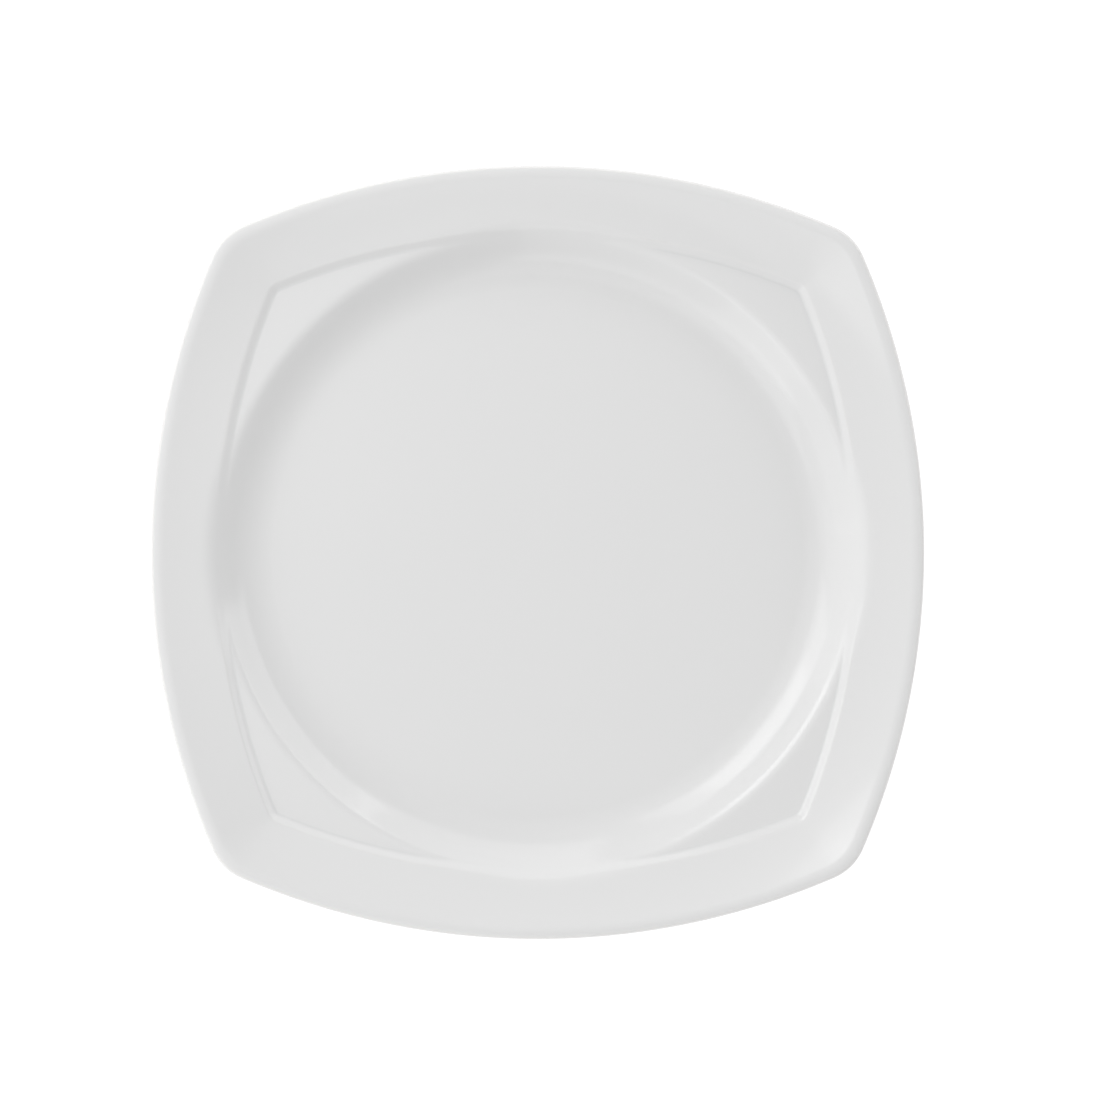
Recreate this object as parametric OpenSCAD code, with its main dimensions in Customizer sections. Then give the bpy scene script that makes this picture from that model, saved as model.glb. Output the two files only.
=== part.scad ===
// Square dinner plate with bowed sides, a round well and a rim stepped up round it.
// Millimetres, +Z up. The foot ring's face lies in the plane Z = 0, centred on the Z axis.
// The plate is one fired china body. Its glaze makes two coats, because the foot ring's
// face is wiped bare between them: one over face, edge and outside, one under the base.

/* [Outline] */
// Width across the middles of two opposite sides
plate_w = 270; // [255:1:290]
// Radius in plan of each bowed side
side_bow_r = 260; // [235:1:300]
// Radius in plan of each rounded corner
corner_r = 19.5; // [14:0.5:28]

/* [Rim] */
// Height of the edge above the table at the corners
plate_h = 27.8; // [26.5:0.1:30]
// How much lower the edge lies at the middle of each side
side_drop = 3; // [2:0.1:4]
// Radius over which the rim's upper face turns level before the edge
edge_in_r = 6.5; // [4:0.5:10]
// Slope in degrees to which it has fallen again where the edge's upper round starts
edge_fall = 12; // [8:1:16]
// Radius of the edge's two rounds, above and below its upright flank
edge_r = 1.3; // [1:0.1:1.8]
// Height of the upright flank between the two rounds
edge_flank_h = 1.8; // [1.2:0.1:2.4]
// Slope in degrees that the rim reaches at the middle of each side
side_tilt = 18; // [15:1:22]
// Slope in degrees that the rim reaches at the corners
corner_tilt = 26; // [20:1:30]

/* [Step] */
// Distance in plan from the edge to the middle of the step
step_inset = 23.9; // [22:0.1:26]
// Width in plan of the step
step_w = 3.8; // [2.8:0.1:4.6]
// Height of the step from the corner lands to the rim
step_h = 1.5; // [1:0.1:2]
// Radius in plan of the step's corners, at the middle of the step
step_corner_r = 5; // [3:0.5:9]

/* [Well] */
// Distance in plan by which the well passes the middle of the step, halfway along each side
well_past_step = 3; // [2:0.1:4]
// Width in plan of the well's wall, from the flat floor to the corner lands
wall_w = 21.8; // [20:0.1:25]
// Height of the corner lands above the floor
well_depth = 9.9; // [9:0.1:10.5]
// Width in plan of the wall's straight slope, between its hollow foot and its rounded top
straight_w = 3.2; // [1:0.1:5]
// Width in plan over which the wall's top rounds over on to the corner lands
crest_w = 4; // [2.5:0.1:5]

/* [Base] */
// Thickness of the floor
base_t = 5; // [4:0.1:6]
// Distance in plan between the well's wall and the same curve on the outside
wall_shift = 2; // [1.5:0.1:3]
// Distance in plan before the step at which the outside starts to rise to the edge
haunch_lead = 6; // [4:0.5:8]
// Distance in plan from the middle of the foot ring's face out to the edge of the flat floor
foot_in = 6; // [4:0.5:12]
// Width of the foot ring's face
foot_w = 3.4; // [2.4:0.1:4.4]
// Height of the base inside the foot ring, above the table
foot_h = 3.2; // [2.4:0.1:4]
// How much each side of the foot ring spreads from its face to the base
foot_spread = 1.4; // [0.6:0.1:2]
// Thickness ground off the foot ring to make its face flat
grind_t = 0.2; // [0.1:0.1:0.5]

/* [Glaze] */
// Thickness of the glaze
glaze_t = 0.3; // [0.2:0.05:0.4]
// Height above the table at which the glaze is wiped off the foot ring
glaze_stop = 0.8; // [0.5:0.1:1.2]

/* [Hidden] */

china_colour = "#e9e4da";
glaze_colour = "#f6f6f4";

// Directions from the centre, crowded towards the corners, where the outline turns fastest.
octant_steps = 9;
crowding = 1.8;
function octant_angle(share) = 45 * (1 - pow(1 - share, crowding));
function quarter_angle(i) = i <= octant_steps
    ? octant_angle(i / octant_steps)
    : 90 - octant_angle(2 - i / octant_steps);
DIRECTIONS = [for (q = [0:3], i = [0:2 * octant_steps - 1]) 90 * q + quarter_angle(i)];

// Least width in plan kept for the corner lands' rings where the step runs into the well.
land_min_w = 1.2;

half_w = plate_w / 2;
side_offset = side_bow_r - half_w;
well_r = half_w - step_inset + well_past_step;
crest_r = well_r - crest_w;
steep_r = crest_r - straight_w;
floor_r = well_r - wall_w;
foot_r = floor_r - foot_in;
floor_z = foot_h + base_t;
land_z = floor_z + well_depth;
wall_slope = 2 * well_depth / (wall_w + straight_w);
crest_round = wall_slope * crest_w / 2;

// A direction turned and mirrored into the first octant.
function folded(a) = let (q = a - 90 * floor(a / 90)) min(q, 90 - q);

// Distance along an axis of the centre of a corner arc of radius r on a line this far inside
// the edge. The arc touches the side arcs, which all lines share the centres of.
function corner_centre(inset, r) =
    let (reach = side_bow_r - inset - r)
    (sqrt(2 * reach * reach - side_offset * side_offset) - side_offset) / 2;

// Radius from the plate's centre, in direction a, of a bowed square this far inside the edge.
function line_r(a, inset, r) =
    let (
        t = folded(a),
        c = corner_centre(inset, r),
        side_r = side_bow_r - inset,
        join = atan2(side_r * c, side_r * (c + side_offset) - side_offset * (side_r - r)),
        along = side_offset * cos(t),
        across = c * (cos(t) + sin(t))
    )
    t < join
        ? sqrt(along * along - side_offset * side_offset + side_r * side_r) - along
        : across + sqrt(across * across - 2 * c * c + r * r);

function outline_r(a) = line_r(a, 0, corner_r);
function step_foot_r(a) = line_r(a, step_inset + step_w / 2, step_corner_r - step_w / 2);
function step_top_r(a) = line_r(a, step_inset - step_w / 2, step_corner_r + step_w / 2);

// From 0 at the middle of a side to 1 at a corner. The power keeps the change near the corners.
corner_power = 1.5;
function cornerness(a) =
    pow((outline_r(a) - half_w) / (outline_r(45) - half_w), corner_power);
function edge_z(a) = plate_h - side_drop * (1 - cornerness(a));
function tilt(a) = side_tilt + (corner_tilt - side_tilt) * cornerness(a);

// Height above the floor of the well's wall, hollow and then straight.
function wall(r) =
    r <= floor_r ? 0
    : r <= steep_r ? wall_slope * pow(r - floor_r, 2) / (2 * (steep_r - floor_r))
    : wall_slope * ((steep_r - floor_r) / 2 + r - steep_r);

// The lower of two slopes' heights, rounded over where they meet.
function lower(p, q) =
    min(p, q) - pow(max(crest_round - abs(p - q), 0), 2) / (4 * crest_round);

// Centres of the edge's arcs in section, each as radius and height: where the upper face turns
// level, and at the two rounds.
function level_centre(a) =
    [outline_r(a) - edge_r - (edge_in_r - edge_r) * sin(edge_fall), edge_z(a) - edge_in_r];
function upper_centre(a) =
    [outline_r(a) - edge_r, level_centre(a)[1] + (edge_in_r - edge_r) * cos(edge_fall)];
function under_centre(a) = upper_centre(a) - [0, edge_flank_h];

// Point of an arc in section, at a turn in degrees from straight up, sunk by skin.
function arc_point(centre, radius, turn, skin = 0) =
    centre + (radius - skin) * [sin(turn), cos(turn)];

// Where the rim's upper face meets the edge, and where the edge meets the outside.
function roll_start(a) = arc_point(level_centre(a), edge_in_r, -tilt(a));
function roll_end(a) = arc_point(under_centre(a), edge_r, 180 - tilt(a));

// Slope of the rim just outside the step. It grows steadily from there to the edge.
function rim_start_slope(a) =
    let (
        step_run = step_top_r(a) - step_foot_r(a),
        rim_run = roll_start(a)[0] - step_top_r(a),
        rise = roll_start(a)[1] - land_z - step_h
    )
    (2 * rise - rim_run * tan(tilt(a))) / (rim_run + step_run);

// Height above the floor of the corner lands, the step and the rim.
function rim(a, r) =
    let (
        step_run = step_top_r(a) - step_foot_r(a),
        rim_run = roll_start(a)[0] - step_top_r(a),
        q = min(1, max(0, (r - step_foot_r(a)) / step_run)),
        s = max(0, (r - step_top_r(a)) / rim_run),
        slope = rim_start_slope(a)
    )
    well_depth + step_h * (1 - cos(180 * q)) / 2 + slope * step_run * q * q / 2
        + slope * rim_run * s + (tan(tilt(a)) - slope) * rim_run * s * s / 2;

// Height of the plate's upper face. Halfway along each side the wall runs on up the step.
function face_z(a, r) = floor_z + lower(wall(r), rim(a, r));

// Height of the plate's outside, from the foot ring to the edge.
function outside_z(a, r) =
    let (
        haunch_r = step_foot_r(a) - haunch_lead,
        run = roll_end(a)[0] - haunch_r,
        rise = roll_end(a)[1] - foot_h - well_depth,
        s = max(0, (r - haunch_r) / run)
    )
    foot_h + lower(wall(r - wall_shift), well_depth)
        + rise * s * s * (3 - 2 * s) + run * tan(tilt(a)) * s * s * (s - 1);

// Shares of each zone's width at which the rings of the model's sections lie.
hollow_shares = [0, 0.25, 0.5, 0.75, 1];
crest_shares = [0, 0.3, 0.6, 1];
land_shares = [0.5, 1];
step_shares = [0.25, 0.5, 0.75, 1];
rim_shares = [0.15, 0.45, 0.75];
under_shares = [0.75, 0.45, 0.2];
outside_shares = [1, 0.85, 0.6, 0.35, 0.15];
level_shares = [1, 0.5, 0];
round_shares = [0, 0.35, 0.7, 1];

// Section of the upper face in direction a, out to the edge, sunk by skin.
function face_section(a, skin) =
    let (
        lands_in = min(well_r, step_foot_r(a) - land_min_w),
        lands_out = step_foot_r(a),
        step_out = step_top_r(a),
        rim_out = roll_start(a)[0],
        crest_in = lands_in - crest_w,
        hollow_out = crest_in - straight_w,
        radii = concat(
            [for (s = hollow_shares) floor_r + s * (hollow_out - floor_r)],
            [for (s = crest_shares) crest_in + s * (lands_in - crest_in)],
            [for (s = land_shares) lands_in + s * (lands_out - lands_in)],
            [for (s = step_shares) lands_out + s * (step_out - lands_out)],
            [for (s = rim_shares) step_out + s * (rim_out - step_out)]
        )
    )
    [for (r = radii) [r, face_z(a, r) - skin]];

// Section of the edge, round from the upper face to the outside, with one point where it is
// highest and two where it is widest.
function roll_section(a, skin) = concat(
    [for (s = level_shares) arc_point(level_centre(a), edge_in_r, -tilt(a) * s, skin)],
    [for (s = round_shares)
        arc_point(upper_centre(a), edge_r, edge_fall + (90 - edge_fall) * s, skin)],
    [for (s = round_shares) arc_point(under_centre(a), edge_r, 90 + (90 - tilt(a)) * s, skin)]
);

// Section of the outside, from the edge in to the foot ring, raised by skin.
function outside_section(a, skin) =
    let (
        wall_in = floor_r + wall_shift,
        wall_out = well_r + wall_shift,
        radii = concat(
            [for (s = under_shares) wall_out + s * (roll_end(a)[0] - wall_out)],
            [for (s = outside_shares) wall_in + s * (wall_out - wall_in)]
        )
    )
    [for (r = radii) [r, outside_z(a, r) + skin]];

// Radius of the bare foot ring's sides at a height: side is 1 outside and -1 inside.
function foot_side_r(side, z) = foot_r + side * (foot_w / 2 + foot_spread * z / foot_h);

// Section of one side of the foot ring, from the base down to where the glaze stops.
function foot_section(side, skin) =
    let (cover = side * (glaze_t - skin))
    [for (z = [foot_h + skin, glaze_stop]) [foot_side_r(side, z) + cover, z]];

// Section of everything that the outer glaze covers, sunk by skin.
function glazed_side(a, skin) =
    concat(face_section(a, skin), roll_section(a, skin), outside_section(a, skin),
        foot_section(1, skin));

function backward(list) = [for (i = [len(list) - 1:-1:0]) list[i]];

// Closed solid from one section in each direction. Every section runs from the axis at top_z,
// round the outside and back to the axis at end_z. The second half of a coat's section runs
// backward over the surface that it covers, so there its triangles are split the other way,
// to be the same as that surface's own.
module turned(sections, top_z, end_z, is_coat = false) {
    count = len(DIRECTIONS);
    rings = len(sections[0]);
    covered_from = is_coat ? rings / 2 : rings;
    points = concat(
        [for (j = [0:count - 1], p = sections[j])
            [p[0] * cos(DIRECTIONS[j]), p[0] * sin(DIRECTIONS[j]), p[1]]],
        [[0, 0, top_z], [0, 0, end_z]]
    );
    top_pole = count * rings;
    end_pole = top_pole + 1;
    faces = [
        for (j = [0:count - 1])
            let (here = j * rings, next = (j + 1) % count * rings)
            each concat(
                [[top_pole, next, here]],
                [for (i = [0:rings - 2]) each i < covered_from
                    ? [[here + i, next + i, next + i + 1], [here + i, next + i + 1, here + i + 1]]
                    : [[here + i, next + i, here + i + 1], [next + i, next + i + 1, here + i + 1]]],
                [[here + rings - 1, next + rings - 1, end_pole]]
            )
    ];
    polyhedron(points = points, faces = faces, convexity = 8);
}

// Fired body with its foot ring, bare only round the ring's face.
module china_body() {
    color(china_colour)
        difference() {
            turned(
                [for (a = DIRECTIONS) concat(
                    glazed_side(a, glaze_t),
                    [for (side = [1, -1]) [foot_side_r(side, -grind_t), -grind_t]],
                    backward(foot_section(-1, glaze_t))
                )],
                floor_z - glaze_t,
                foot_h + glaze_t
            );
            translate([-plate_w, -plate_w, -plate_h])
                cube([2 * plate_w, 2 * plate_w, plate_h]);
        }
}

// Glaze over the face, round the edge and down the outside to the foot ring.
module outer_glaze() {
    color(glaze_colour)
        turned(
            [for (a = DIRECTIONS) concat(
                glazed_side(a, 0),
                backward(glazed_side(a, glaze_t))
            )],
            floor_z,
            floor_z - glaze_t,
            is_coat = true
        );
}

// Glaze under the base, inside the foot ring.
module base_glaze() {
    color(glaze_colour)
        turned(
            [for (a = DIRECTIONS) concat(
                foot_section(-1, glaze_t),
                backward(foot_section(-1, 0))
            )],
            foot_h + glaze_t,
            foot_h
        );
}

china_body();
outer_glaze();
base_glaze();
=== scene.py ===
"""Square dinner plate of white glazed china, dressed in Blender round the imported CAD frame.

Sizes in capitals are millimetres and degrees, and repeat those of the part's source. TURN, TILT
and FALL are radians. Meshes, lights and the camera are in metres.
"""
import math

import bpy
import numpy as np
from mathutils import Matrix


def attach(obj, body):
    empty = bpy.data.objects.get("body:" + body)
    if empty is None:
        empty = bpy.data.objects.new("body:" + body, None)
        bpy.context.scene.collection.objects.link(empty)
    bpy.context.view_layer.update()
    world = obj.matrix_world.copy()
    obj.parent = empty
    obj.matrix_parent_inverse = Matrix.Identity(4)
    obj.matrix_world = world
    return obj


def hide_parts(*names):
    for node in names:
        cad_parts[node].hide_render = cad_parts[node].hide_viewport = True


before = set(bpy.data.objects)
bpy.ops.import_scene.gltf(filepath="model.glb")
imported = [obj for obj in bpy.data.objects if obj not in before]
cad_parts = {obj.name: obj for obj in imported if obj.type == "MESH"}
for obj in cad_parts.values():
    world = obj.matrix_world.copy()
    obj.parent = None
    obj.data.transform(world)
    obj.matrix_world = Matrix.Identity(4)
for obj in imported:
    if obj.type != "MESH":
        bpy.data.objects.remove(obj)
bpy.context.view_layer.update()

MM = 0.001

# Outline, rim, edge and step
PLATE_W, SIDE_BOW_R, CORNER_R = 270.0, 260.0, 19.5
PLATE_H, SIDE_DROP = 27.8, 3.0
SIDE_TILT, CORNER_TILT, CORNER_POWER = 18.0, 26.0, 1.5
EDGE_IN_R, EDGE_FALL, EDGE_R, EDGE_FLANK_H = 6.5, 12.0, 1.3, 1.8
STEP_INSET, STEP_W, STEP_H, STEP_CORNER_R = 23.9, 3.8, 1.5, 5.0

# Well
WELL_PAST_STEP, WALL_W, WELL_DEPTH = 3.0, 21.8, 9.9
STRAIGHT_W, CREST_W = 3.2, 4.0

# Base, foot ring and glaze
BASE_T, WALL_SHIFT, HAUNCH_LEAD = 5.0, 2.0, 6.0
FOOT_IN, FOOT_W, FOOT_H, FOOT_SPREAD = 6.0, 3.4, 3.2, 1.4
GLAZE_T, GLAZE_STOP = 0.3, 0.8

# Detail that the part's source leaves out
FOOT_FILLET, FOOT_ROUND, GLAZE_LIP = 1.1, 0.45, 0.35
WAVES = (0.05, 0.03, 0.02)
WAVES_START, WAVES_FULL, WAVES_END = FOOT_H + 1, FOOT_H + 5, PLATE_H
WAVES_FADE = 2.0

# Sizes that follow from these
HALF_W = PLATE_W / 2
SIDE_OFFSET = SIDE_BOW_R - HALF_W
WELL_R = HALF_W - STEP_INSET + WELL_PAST_STEP
CREST_R = WELL_R - CREST_W
STEEP_R = CREST_R - STRAIGHT_W
FLOOR_R = WELL_R - WALL_W
FOOT_R = FLOOR_R - FOOT_IN
FLOOR_Z = FOOT_H + BASE_T
LAND_Z = FLOOR_Z + WELL_DEPTH
WALL_SLOPE = 2 * WELL_DEPTH / (WALL_W + STRAIGHT_W)
CREST_ROUND = WALL_SLOPE * CREST_W / 2

# Directions from the centre, crowded towards the corners, where the outline turns fastest
OCTANT_STEPS = 44
CROWDING = 1.8

# Steps in each zone of a section, where it shows (True) and where glaze hides it (False)
FACE_STEPS = {True: (8, 16, 9, 7, 14, 20), False: (2, 5, 3, 2, 6, 5)}
EDGE_STEPS = {True: 12, False: 3}
OUTSIDE_STEPS = {True: (26, 16), False: (7, 6)}
FILLET_STEPS, FOOT_ROUND_STEPS, LIP_STEPS = 7, 6, 6

# Where zones begin or end: a share of the floor's radius, and widths
AXIS_SHARE = 0.04
LAND_MIN_W = 1.2
OUTSIDE_MIN_W = 4.0


def directions():
    """Angles in radians of every section, once round from +X."""
    share = np.arange(OCTANT_STEPS + 1) / OCTANT_STEPS
    octant = 45 * (1 - (1 - share) ** CROWDING)
    quarter = np.concatenate([octant, 90 - octant[-2:0:-1]])
    return np.radians(np.concatenate([quarter + 90 * q for q in range(4)]))


def line_r(turn, inset, r):
    """Radius of a bowed square this far inside the edge, with corners of radius r."""
    t = np.mod(turn, math.pi / 2)
    t = np.minimum(t, math.pi / 2 - t)
    reach = SIDE_BOW_R - inset - r
    c = (math.sqrt(2 * reach * reach - SIDE_OFFSET ** 2) - SIDE_OFFSET) / 2
    side_r = SIDE_BOW_R - inset
    join = math.atan2(side_r * c, side_r * (c + SIDE_OFFSET) - SIDE_OFFSET * (side_r - r))
    along = SIDE_OFFSET * np.cos(t)
    across = c * (np.cos(t) + np.sin(t))
    side = np.sqrt(along ** 2 - SIDE_OFFSET ** 2 + side_r ** 2) - along
    corner = across + np.sqrt(np.maximum(0, across ** 2 - 2 * c * c + r * r))
    return np.where(t < join, side, corner)


TURN = directions()
OUTLINE = line_r(TURN, 0, CORNER_R)[:, None]
STEP_FOOT = line_r(TURN, STEP_INSET + STEP_W / 2, STEP_CORNER_R - STEP_W / 2)[:, None]
STEP_TOP = line_r(TURN, STEP_INSET - STEP_W / 2, STEP_CORNER_R + STEP_W / 2)[:, None]
CORNER_REACH = float(line_r(np.array([math.pi / 4]), 0, CORNER_R)[0])

# How near each direction is to a corner, from 0 at the middle of a side to 1
CORNERNESS = ((OUTLINE - HALF_W) / (CORNER_REACH - HALF_W)) ** CORNER_POWER
EDGE_Z = PLATE_H - SIDE_DROP * (1 - CORNERNESS)
TILT = np.radians(SIDE_TILT + (CORNER_TILT - SIDE_TILT) * CORNERNESS)
FALL = math.radians(EDGE_FALL)

# Arcs of the edge in section, each as centre, radius and turn from straight up at both ends
LEVEL_R = OUTLINE - EDGE_R - (EDGE_IN_R - EDGE_R) * math.sin(FALL)
ROUND_Z = EDGE_Z - EDGE_IN_R + (EDGE_IN_R - EDGE_R) * math.cos(FALL)
EDGE_ARCS = (
    (LEVEL_R, EDGE_Z - EDGE_IN_R, EDGE_IN_R, -TILT, FALL),
    (OUTLINE - EDGE_R, ROUND_Z, EDGE_R, FALL, math.pi / 2),
    (OUTLINE - EDGE_R, ROUND_Z - EDGE_FLANK_H, EDGE_R, math.pi / 2, math.pi - TILT),
)


# ---------------------------------------------------------------- sections
def on_arc(arc, share, skin=0.0):
    """Radii and heights this share of the way along an arc, sunk by skin."""
    centre_r, centre_z, radius, start, end = arc
    turn = start + (end - start) * share
    return (centre_r + (radius - skin) * np.sin(turn),
            centre_z + (radius - skin) * np.cos(turn))


RIM_END_R, RIM_END_Z = on_arc(EDGE_ARCS[0], 0)
UNDER_R, UNDER_Z = on_arc(EDGE_ARCS[-1], 1)


def wall(r):
    """Height above the floor of the well's wall, hollow and then straight."""
    hollow = WALL_SLOPE * np.clip(r - FLOOR_R, 0, None) ** 2 / (2 * (STEEP_R - FLOOR_R))
    straight = WALL_SLOPE * ((STEEP_R - FLOOR_R) / 2 + r - STEEP_R)
    return np.where(r <= STEEP_R, hollow, straight)


def lower(a, b):
    """The lower of two slopes' heights, rounded over where they meet."""
    return np.minimum(a, b) - np.maximum(CREST_ROUND - abs(a - b), 0) ** 2 / (4 * CREST_ROUND)


def rim(r):
    """Height above the floor of the corner lands, the step and the rim."""
    step_run, rim_run = STEP_TOP - STEP_FOOT, RIM_END_R - STEP_TOP
    q = np.clip((r - STEP_FOOT) / step_run, 0, 1)
    s = np.clip((r - STEP_TOP) / rim_run, 0, None)
    rise = RIM_END_Z - LAND_Z - STEP_H
    slope = (2 * rise - rim_run * np.tan(TILT)) / (rim_run + step_run)
    return (WELL_DEPTH + STEP_H * (1 - np.cos(np.pi * q)) / 2 + slope * step_run * q * q / 2
            + slope * rim_run * s + (np.tan(TILT) - slope) * rim_run * s * s / 2)


def face_z(r):
    """Height of the plate's upper face."""
    return FLOOR_Z + lower(wall(r), rim(r))


def outside_z(r):
    """Height of the plate's outside, from the foot ring to the edge."""
    haunch_r = STEP_FOOT - HAUNCH_LEAD
    run, rise = UNDER_R - haunch_r, UNDER_Z - FOOT_H - WELL_DEPTH
    s = np.clip((r - haunch_r) / run, 0, None)
    return (FOOT_H + lower(wall(r - WALL_SHIFT), WELL_DEPTH)
            + rise * s * s * (3 - 2 * s) + run * np.tan(TILT) * s * s * (s - 1))


def spread(inner, outer, count, first=False):
    """count radii evenly from inner to outer in each direction, inner itself only if first."""
    share = np.arange(0 if first else 1, count + 1) / count
    inner, outer = np.broadcast_arrays(np.asarray(inner, float), np.asarray(outer, float))
    if inner.ndim == 0:
        inner, outer = np.full((len(TURN), 1), inner), np.full((len(TURN), 1), outer)
    return inner + (outer - inner) * share


def face_section(skin, fine):
    """Upper face from near the axis out to the edge, sunk by skin."""
    crest_out = np.minimum(WELL_R, STEP_FOOT - LAND_MIN_W)
    zones = (AXIS_SHARE * FLOOR_R, FLOOR_R, crest_out - CREST_W, crest_out, STEP_FOOT, STEP_TOP,
             RIM_END_R)
    radii = [spread(a, b, n, first=i == 0)
             for i, (a, b, n) in enumerate(zip(zones, zones[1:], FACE_STEPS[fine]))]
    r = np.concatenate(radii, axis=1)
    return np.stack([r, face_z(r) - skin], axis=2)


def edge_section(skin, fine):
    """Edge, from the rim over its highest line, down its flank and round to the outside."""
    share = np.arange(1, EDGE_STEPS[fine] + 1) / EDGE_STEPS[fine]
    level, upper, under = EDGE_ARCS
    return np.concatenate([np.stack(np.broadcast_arrays(*on_arc(arc, part, skin)), axis=2)
                           for arc, part in ((level, share), (upper, share),
                                             (under, np.append(0, share)))], axis=1)


def outside_section(skin, fine):
    """Outside from the edge in to the flat beside the foot ring, raised by skin."""
    wall_in = FLOOR_R + WALL_SHIFT
    wall_out = np.minimum(WELL_R + WALL_SHIFT, UNDER_R - OUTSIDE_MIN_W)
    outer_steps, wall_steps = OUTSIDE_STEPS[fine]
    r = np.concatenate([spread(UNDER_R, wall_out, outer_steps),
                        spread(wall_out, wall_in, wall_steps)], axis=1)
    return np.stack([r, outside_z(r) + skin], axis=2)


def bend(start, corner, end, steps):
    """Points of a rounded corner, the same in every direction."""
    s = np.linspace(0, 1, steps + 1)[:, None]
    start, corner, end = map(np.array, (start, corner, end))
    return (1 - s) ** 2 * start + 2 * s * (1 - s) * corner + s * s * end


def all_round(points):
    """The same points in every direction."""
    return np.broadcast_to(np.asarray(points, float), (len(TURN), len(points), 2))


def backward(section):
    return section[:, ::-1]


def foot_r(side, z, skin=GLAZE_T):
    """Radius of the foot ring's sides at a height: side is 1 outside and -1 inside."""
    return FOOT_R + side * (FOOT_W / 2 + FOOT_SPREAD * z / FOOT_H + GLAZE_T - skin)


def foot_side(side, skin, end_z):
    """One side of the foot ring from the base, through a fillet, down to a height."""
    top = FOOT_H + skin
    low = top - FOOT_FILLET
    fillet = bend((foot_r(side, top, skin) + side * FOOT_FILLET, top),
                  (foot_r(side, top, skin), top), (foot_r(side, low, skin), low), FILLET_STEPS)
    return np.concatenate([fillet, [(foot_r(side, end_z, skin), end_z)]])


def glaze_lip(side):
    """Rounded end of the glaze, from its own surface in to the body."""
    z = GLAZE_STOP + GLAZE_LIP
    return bend((foot_r(side, z, 0), z), (foot_r(side, GLAZE_STOP, 0), GLAZE_STOP),
                (foot_r(side, GLAZE_STOP), GLAZE_STOP), LIP_STEPS)


def foot_tip(side):
    """Bare end of the foot ring on one side, down to its face."""
    return bend((foot_r(side, FOOT_ROUND), FOOT_ROUND), (foot_r(side, 0), 0),
                (foot_r(side, 0) - side * FOOT_ROUND, 0), FOOT_ROUND_STEPS)


# ---------------------------------------------------------------- meshes
def warp(x, y, z):
    """Slight unevenness of fired ware, in millimetres, fading out at the foot and the top."""
    broad, slanting, crossing = WAVES
    wave = (broad * np.sin(x / 31 + 0.6) * np.cos(y / 37 - 0.4)
            + slanting * np.sin((x + y) / 19 + 1.9)
            + crossing * np.cos((x - 1.3 * y) / 13 - 0.8))
    return (wave * np.clip((z - WAVES_START) / (WAVES_FULL - WAVES_START), 0, 1)
            * np.clip((WAVES_END - z) / WAVES_FADE, 0, 1))


def bends_in(path):
    """How sharply a section bends at each point: over 0 in a hollow, under 0 over an edge."""
    shortest = 1e-6
    step = np.diff(path, axis=1)
    length = np.maximum(np.linalg.norm(step, axis=2), shortest)
    heading = np.unwrap(np.arctan2(step[..., 1], step[..., 0]), axis=1)
    turned = np.diff(heading, axis=1) / ((length[:, 1:] + length[:, :-1]) / 2)
    return np.pad(turned, ((0, 0), (1, 1)), mode="edge")


def solid(name, sections, top_z, end_z):
    """Closed mesh from one path in each direction, from the axis out, round and back."""
    path = np.concatenate(sections, axis=1)
    count, rings = path.shape[:2]
    x = path[..., 0] * np.cos(TURN)[:, None]
    y = path[..., 0] * np.sin(TURN)[:, None]
    z = path[..., 1] + warp(x, y, path[..., 1])
    poles = [(0, 0, h + float(warp(0.0, 0.0, h))) for h in (top_z, end_z)]
    points = np.concatenate([np.stack([x, y, z], axis=2).reshape(-1, 3), poles]) * MM
    top_pole, end_pole = count * rings, count * rings + 1
    here = np.arange(count)[:, None] * rings
    onward = np.roll(here, -1, axis=0)
    i = np.arange(rings - 1)[None, :]
    quads = np.stack([here + i, here + i + 1, onward + i + 1, onward + i], axis=2)
    faces = quads.reshape(-1, 4).tolist()
    for a, b in zip(here[:, 0].tolist(), onward[:, 0].tolist()):
        faces.append([top_pole, a, b])
        faces.append([b + rings - 1, a + rings - 1, end_pole])
    mesh = bpy.data.meshes.new(name)
    mesh.from_pydata(points.tolist(), [], faces)
    mesh.shade_smooth()
    pool = mesh.attributes.new("pool", "FLOAT", "POINT")
    pool.data.foreach_set("value", np.append(bends_in(path).ravel(), [0, 0]).astype(np.float32))
    mesh.validate()
    piece = bpy.data.objects.new(name, mesh)
    bpy.context.scene.collection.objects.link(piece)
    return piece


# ---------------------------------------------------------------- materials
CHINA_IOR = 1.5
CLOUD_TINTS = (0.795, 0.796, 0.796, 1), (0.806, 0.806, 0.805, 1)
POOLED_TINT, THIN_TINT = (0.752, 0.76, 0.76, 1), (0.806, 0.797, 0.782, 1)
GLAZE_ROUGHNESS = 0.11, 0.14
RIPPLE_DEPTH, PEEL_DEPTH = 6e-6, 3e-6

GRAIN_TINTS = (0.68, 0.65, 0.59, 1), (0.77, 0.74, 0.68, 1)
GROUND_TINT, WORN_TINT = (0.6, 0.57, 0.52, 1), (0.42, 0.42, 0.42, 1)
CHINA_ROUGHNESS = 0.5, 0.68
MARKS_OUTWARD, MARKS_AROUND = 4500.0, 9.0
CUT_DEPTH, GRAIN_DEPTH = 3e-5, 2e-5


def feed(tree, socket, value):
    """Give an input an output to follow, or a value."""
    if isinstance(value, bpy.types.NodeSocket):
        tree.links.new(value, socket)
    else:
        socket.default_value = value


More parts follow.
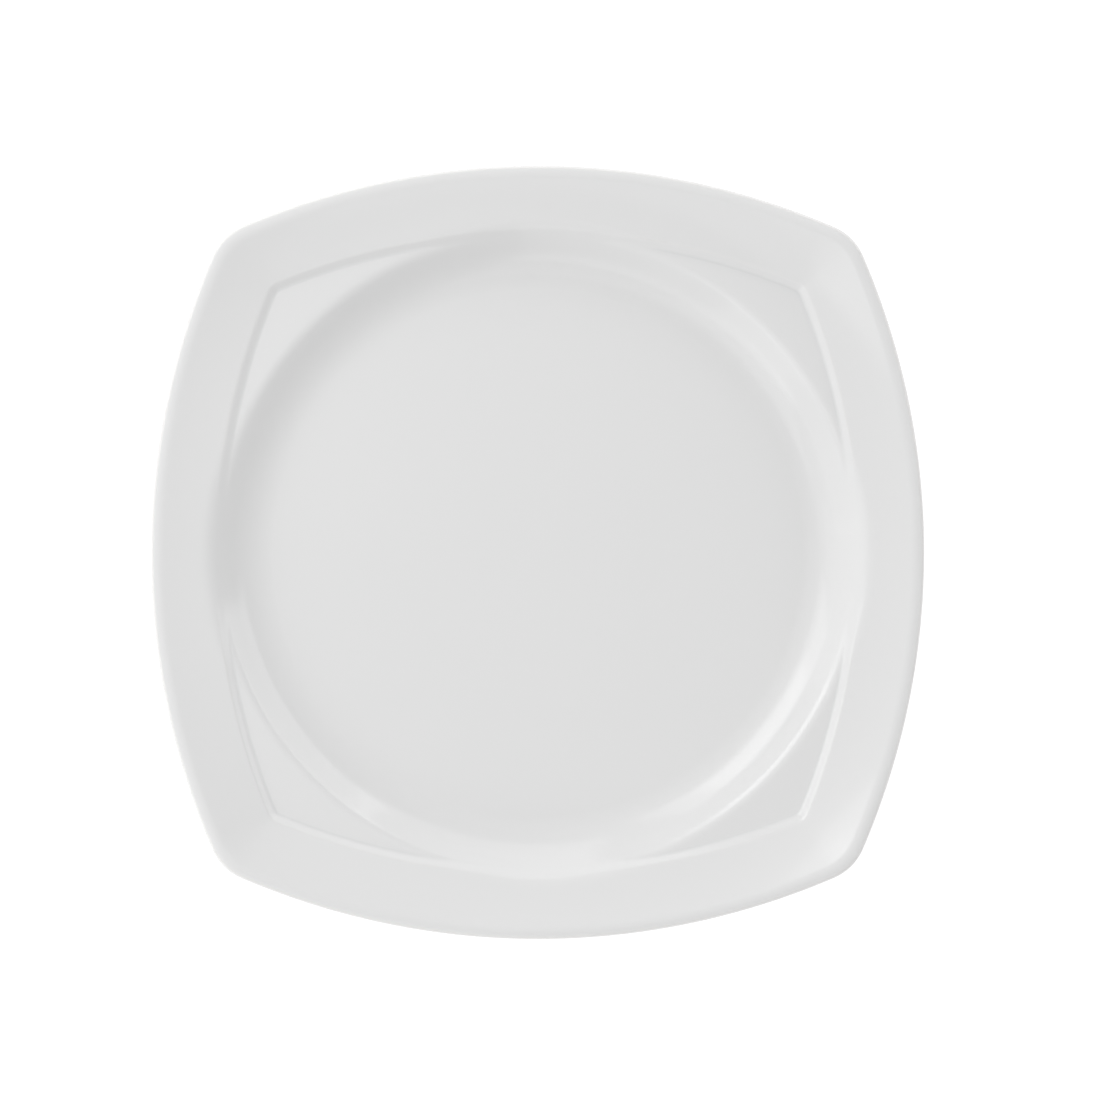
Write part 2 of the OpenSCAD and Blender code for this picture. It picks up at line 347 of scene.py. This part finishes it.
class Tree:
    """A material's or world's nodes, made in short calls."""

    def __init__(self, owner):
        owner.use_nodes = True
        self.tree = owner.node_tree
        self.tree.nodes.clear()

    def add(self, kind, *by_place, out=0, settings=(), **by_name):
        """A new node's output. Inputs are given in order or by name, as values or outputs."""
        node = self.tree.nodes.new(kind)
        for key, value in dict(settings).items():
            setattr(node, key, value)
        for place, value in enumerate(by_place):
            feed(self.tree, node.inputs[place], value)
        for name, value in by_name.items():
            feed(self.tree, node.inputs[name.replace("_", " ")], value)
        return node.outputs[out] if node.outputs else None

    def mix(self, factor, a, b):
        """Colour between a and b."""
        node = self.tree.nodes.new("ShaderNodeMix")
        node.data_type = "RGBA"
        for place, value in ((0, factor), (6, a), (7, b)):
            feed(self.tree, node.inputs[place], value)
        return node.outputs[2]


def material(name):
    made = bpy.data.materials.new(name)
    return made, Tree(made)


def noise(t, place, scale, detail=2.0, roughness=0.5):
    return t.add("ShaderNodeTexNoise", Vector=place, Scale=scale, Detail=detail,
                 Roughness=roughness)


def between(t, value, low, high, to_low=0.0, to_high=1.0):
    """value from low to high, carried smoothly on to to_low to to_high."""
    return t.add("ShaderNodeMapRange", Value=value, From_Min=low, From_Max=high, To_Min=to_low,
                 To_Max=to_high, settings={"interpolation_type": "SMOOTHSTEP"})


def glaze_material():
    """Clear glossy glaze over white china, thin and warm over edges, pooled in hollows."""
    made, t = material("white_glaze")
    place = t.add("ShaderNodeTexCoord", out="Object")
    tone = t.mix(noise(t, place, 14.0, 3.0), *CLOUD_TINTS)
    pool = t.add("ShaderNodeAttribute", out=2, settings={"attribute_name": "pool"})
    tone = t.mix(between(t, pool, 0.06, 0.5, 0.0, 0.5), tone, POOLED_TINT)
    tone = t.mix(between(t, pool, -0.12, -0.6, 0.0, 0.5), tone, THIN_TINT)
    gloss = between(t, noise(t, place, 60.0, 3.0), 0.3, 0.7, *GLAZE_ROUGHNESS)
    ripple = t.add("ShaderNodeBump", Height=noise(t, place, 55.0, 1.0), Strength=1.0,
                   Distance=RIPPLE_DEPTH)
    peel = t.add("ShaderNodeBump", Height=noise(t, place, 420.0), Strength=1.0,
                 Distance=PEEL_DEPTH, Normal=ripple)
    surface = t.add("ShaderNodeBsdfPrincipled", Base_Color=tone, Roughness=gloss,
                    IOR=CHINA_IOR, Normal=peel)
    t.add("ShaderNodeOutputMaterial", Surface=surface)
    return made


def body_material():
    """Bare vitrified china, ground in rings on the foot and greyed where it has stood."""
    made, t = material("bare_china")
    place = t.add("ShaderNodeTexCoord", out="Object")
    x, y = (t.add("ShaderNodeSeparateXYZ", place, out=i) for i in (0, 1))
    outward = t.add("ShaderNodeVectorMath", t.add("ShaderNodeCombineXYZ", x, y), out=1,
                    settings={"operation": "LENGTH"})
    around = t.add("ShaderNodeMath", y, x, settings={"operation": "ARCTAN2"})
    turned = t.add("ShaderNodeCombineXYZ",
                   *(t.add("ShaderNodeMath", way, scale, settings={"operation": "MULTIPLY"})
                     for way, scale in ((outward, MARKS_OUTWARD), (around, MARKS_AROUND))))
    marks = noise(t, turned, 1.0, 3.0, 0.6)
    grain = noise(t, place, 2500.0, 4.0)
    tone = t.mix(grain, *GRAIN_TINTS)
    tone = t.mix(between(t, marks, 0.35, 0.75, 0.0, 0.45), tone, GROUND_TINT)
    wear = between(t, noise(t, place, 45.0, 4.0, 0.7), 0.5, 0.68, 0.0, 0.5)
    tone = t.mix(wear, tone, WORN_TINT)
    dull = between(t, marks, 0.3, 0.7, *CHINA_ROUGHNESS)
    cut = t.add("ShaderNodeBump", Height=marks, Strength=1.0, Distance=CUT_DEPTH)
    rough = t.add("ShaderNodeBump", Height=grain, Strength=1.0, Distance=GRAIN_DEPTH,
                  Normal=cut)
    surface = t.add("ShaderNodeBsdfPrincipled", Base_Color=tone, Roughness=dull, IOR=CHINA_IOR,
                    Normal=rough)
    t.add("ShaderNodeOutputMaterial", Surface=surface)
    return made


# ---------------------------------------------------------------- the plate
def dress(piece, node, finish):
    """Give a piece its material, and its node's place in the frame."""
    piece.data.materials.append(finish)
    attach(piece, "root")
    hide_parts(node)


WHITE_GLAZE, BARE_CHINA = glaze_material(), body_material()
UNDER_GLAZE = [face_section(GLAZE_T, False), edge_section(GLAZE_T, False),
               outside_section(GLAZE_T, False), all_round(foot_side(1, GLAZE_T, GLAZE_STOP))]

dress(solid("glaze_over_face_and_outside",
            [face_section(0, True), edge_section(0, True), outside_section(0, True),
             all_round(foot_side(1, 0, GLAZE_STOP + GLAZE_LIP)), all_round(glaze_lip(1)[1:-1])]
            + [backward(section) for section in reversed(UNDER_GLAZE)],
            FLOOR_Z, FLOOR_Z - GLAZE_T), "outer_glaze", WHITE_GLAZE)

dress(solid("glaze_under_base",
            [all_round(foot_side(-1, GLAZE_T, GLAZE_STOP)),
             all_round(glaze_lip(-1)[-2:0:-1]),
             backward(all_round(foot_side(-1, 0, GLAZE_STOP + GLAZE_LIP)))],
            FOOT_H + GLAZE_T, FOOT_H), "base_glaze", WHITE_GLAZE)

dress(solid("china_body_and_foot_ring",
            UNDER_GLAZE + [all_round(foot_tip(1)), backward(all_round(foot_tip(-1))),
                           backward(all_round(foot_side(-1, GLAZE_T, GLAZE_STOP)))],
            FLOOR_Z - GLAZE_T, FOOT_H + GLAZE_T), "china_body", BARE_CHINA)


# ---------------------------------------------------------------- studio
TABLE_REACH = 3.0
TABLE_WHITE, TABLE_GLOW = 0.35, 0.78
SKY_GLOW = 0.512

# Area lights: name, azimuth from +X and elevation in degrees, distance in metres, width and
# height as seen from the plate in degrees, and radiance
LIGHTS = (
    ("key", 143, 41.5, 1.0, 42.5, 31, 1.08),
    ("key_core", 141, 39.5, 1.0, 24, 23, 1.54),
    ("key_side", 170, 30, 1.2, 30, 30, 0.58),
    ("back_low", 148, 4, 1.2, 44, 8, 3.4),
    ("far_back_low", 108, 4, 1.2, 36, 8, 2.2),
    ("left_low", 195, 6, 1.2, 40, 8, 0.8),
    ("left", 208, 20, 1.2, 46, 20, 0.58),
    ("left_above", 212, 42, 1.2, 40, 34, 0.46),
    ("front", 243, 28, 1.2, 56, 26, 0.68),
    ("front_above", 243, 48, 1.2, 52, 38, 0.5),
    ("front_right_low", 312, 3, 1.2, 86, 4, 2.5),
    ("back_right", 78, 24, 1.2, 44, 28, 1.04),
    ("right", 34, 22, 1.2, 46, 22, 1.58),
)

# The photograph: its width and the place of the plate's centre in pixels, the width in metres
# that it shows at the rim's height, and the camera's distance from there
PHOTO_W, CENTRE_X, CENTRE_Y = 1100, 537.5, 552.4
SHOWN_W, CAMERA_AWAY = 0.3836, 3.0
RIM_Z = PLATE_H - 1
SENSOR_W = 36.0
CAMERA_CLIP = 20


def table_top():
    """Plain pale floor, lit from within like a light table and clear from below."""
    mesh = bpy.data.meshes.new("table_top")
    corners = ((-1, -1), (1, -1), (1, 1), (-1, 1))
    mesh.from_pydata([(x * TABLE_REACH, y * TABLE_REACH, 0) for x, y in corners], [],
                     [(0, 1, 2, 3)])
    top = bpy.data.objects.new("table_top", mesh)
    bpy.context.scene.collection.objects.link(top)
    made, t = material("light_table")
    white = t.add("ShaderNodeBsdfDiffuse", Color=(TABLE_WHITE, TABLE_WHITE, TABLE_WHITE, 1))
    glow = t.add("ShaderNodeEmission", Color=(1, 1, 1, 1), Strength=TABLE_GLOW)
    lit = t.add("ShaderNodeAddShader", white, glow)
    clear = t.add("ShaderNodeBsdfTransparent")
    behind = t.add("ShaderNodeNewGeometry", out="Backfacing")
    both = t.add("ShaderNodeMixShader", behind, lit, clear)
    t.add("ShaderNodeOutputMaterial", Surface=both)
    mesh.materials.append(made)


def softbox(name, azimuth, elevation, distance, wide, tall, radiance):
    """Area light that faces the plate, with its place and its two spans in degrees."""
    width, height = (2 * distance * math.tan(math.radians(span / 2)) for span in (wide, tall))
    data = bpy.data.lights.new(name, "AREA")
    data.shape = "RECTANGLE"
    data.size, data.size_y = width, height
    data.energy = math.pi * width * height * radiance
    light = bpy.data.objects.new(name, data)
    a, e = math.radians(azimuth), math.radians(elevation)
    light.location = (distance * math.cos(a) * math.cos(e),
                      distance * math.sin(a) * math.cos(e), distance * math.sin(e))
    light.rotation_euler = (math.pi / 2 - e, 0, a + math.pi / 2)
    bpy.context.scene.collection.objects.link(light)


def sky():
    """Even pale surround."""
    world = bpy.data.worlds.new("studio")
    bpy.context.scene.world = world
    t = Tree(world)
    glow = t.add("ShaderNodeBackground", Color=(1, 1, 1, 1), Strength=SKY_GLOW)
    t.add("ShaderNodeOutputWorld", Surface=glow)


def camera():
    """Straight overhead, with the plate's centre where the photograph has it."""
    pixel = SHOWN_W / PHOTO_W
    data = bpy.data.cameras.new("overhead")
    data.sensor_width = SENSOR_W
    data.lens = SENSOR_W * CAMERA_AWAY / SHOWN_W
    data.clip_end = CAMERA_CLIP
    made = bpy.data.objects.new("overhead", data)
    made.location = ((PHOTO_W / 2 - CENTRE_X) * pixel, (CENTRE_Y - PHOTO_W / 2) * pixel,
                     RIM_Z * MM + CAMERA_AWAY)
    bpy.context.scene.collection.objects.link(made)
    bpy.context.scene.camera = made


table_top()
sky()
for light in LIGHTS:
    softbox(*light)
camera()
bpy.context.scene.view_settings.view_transform = "Standard"
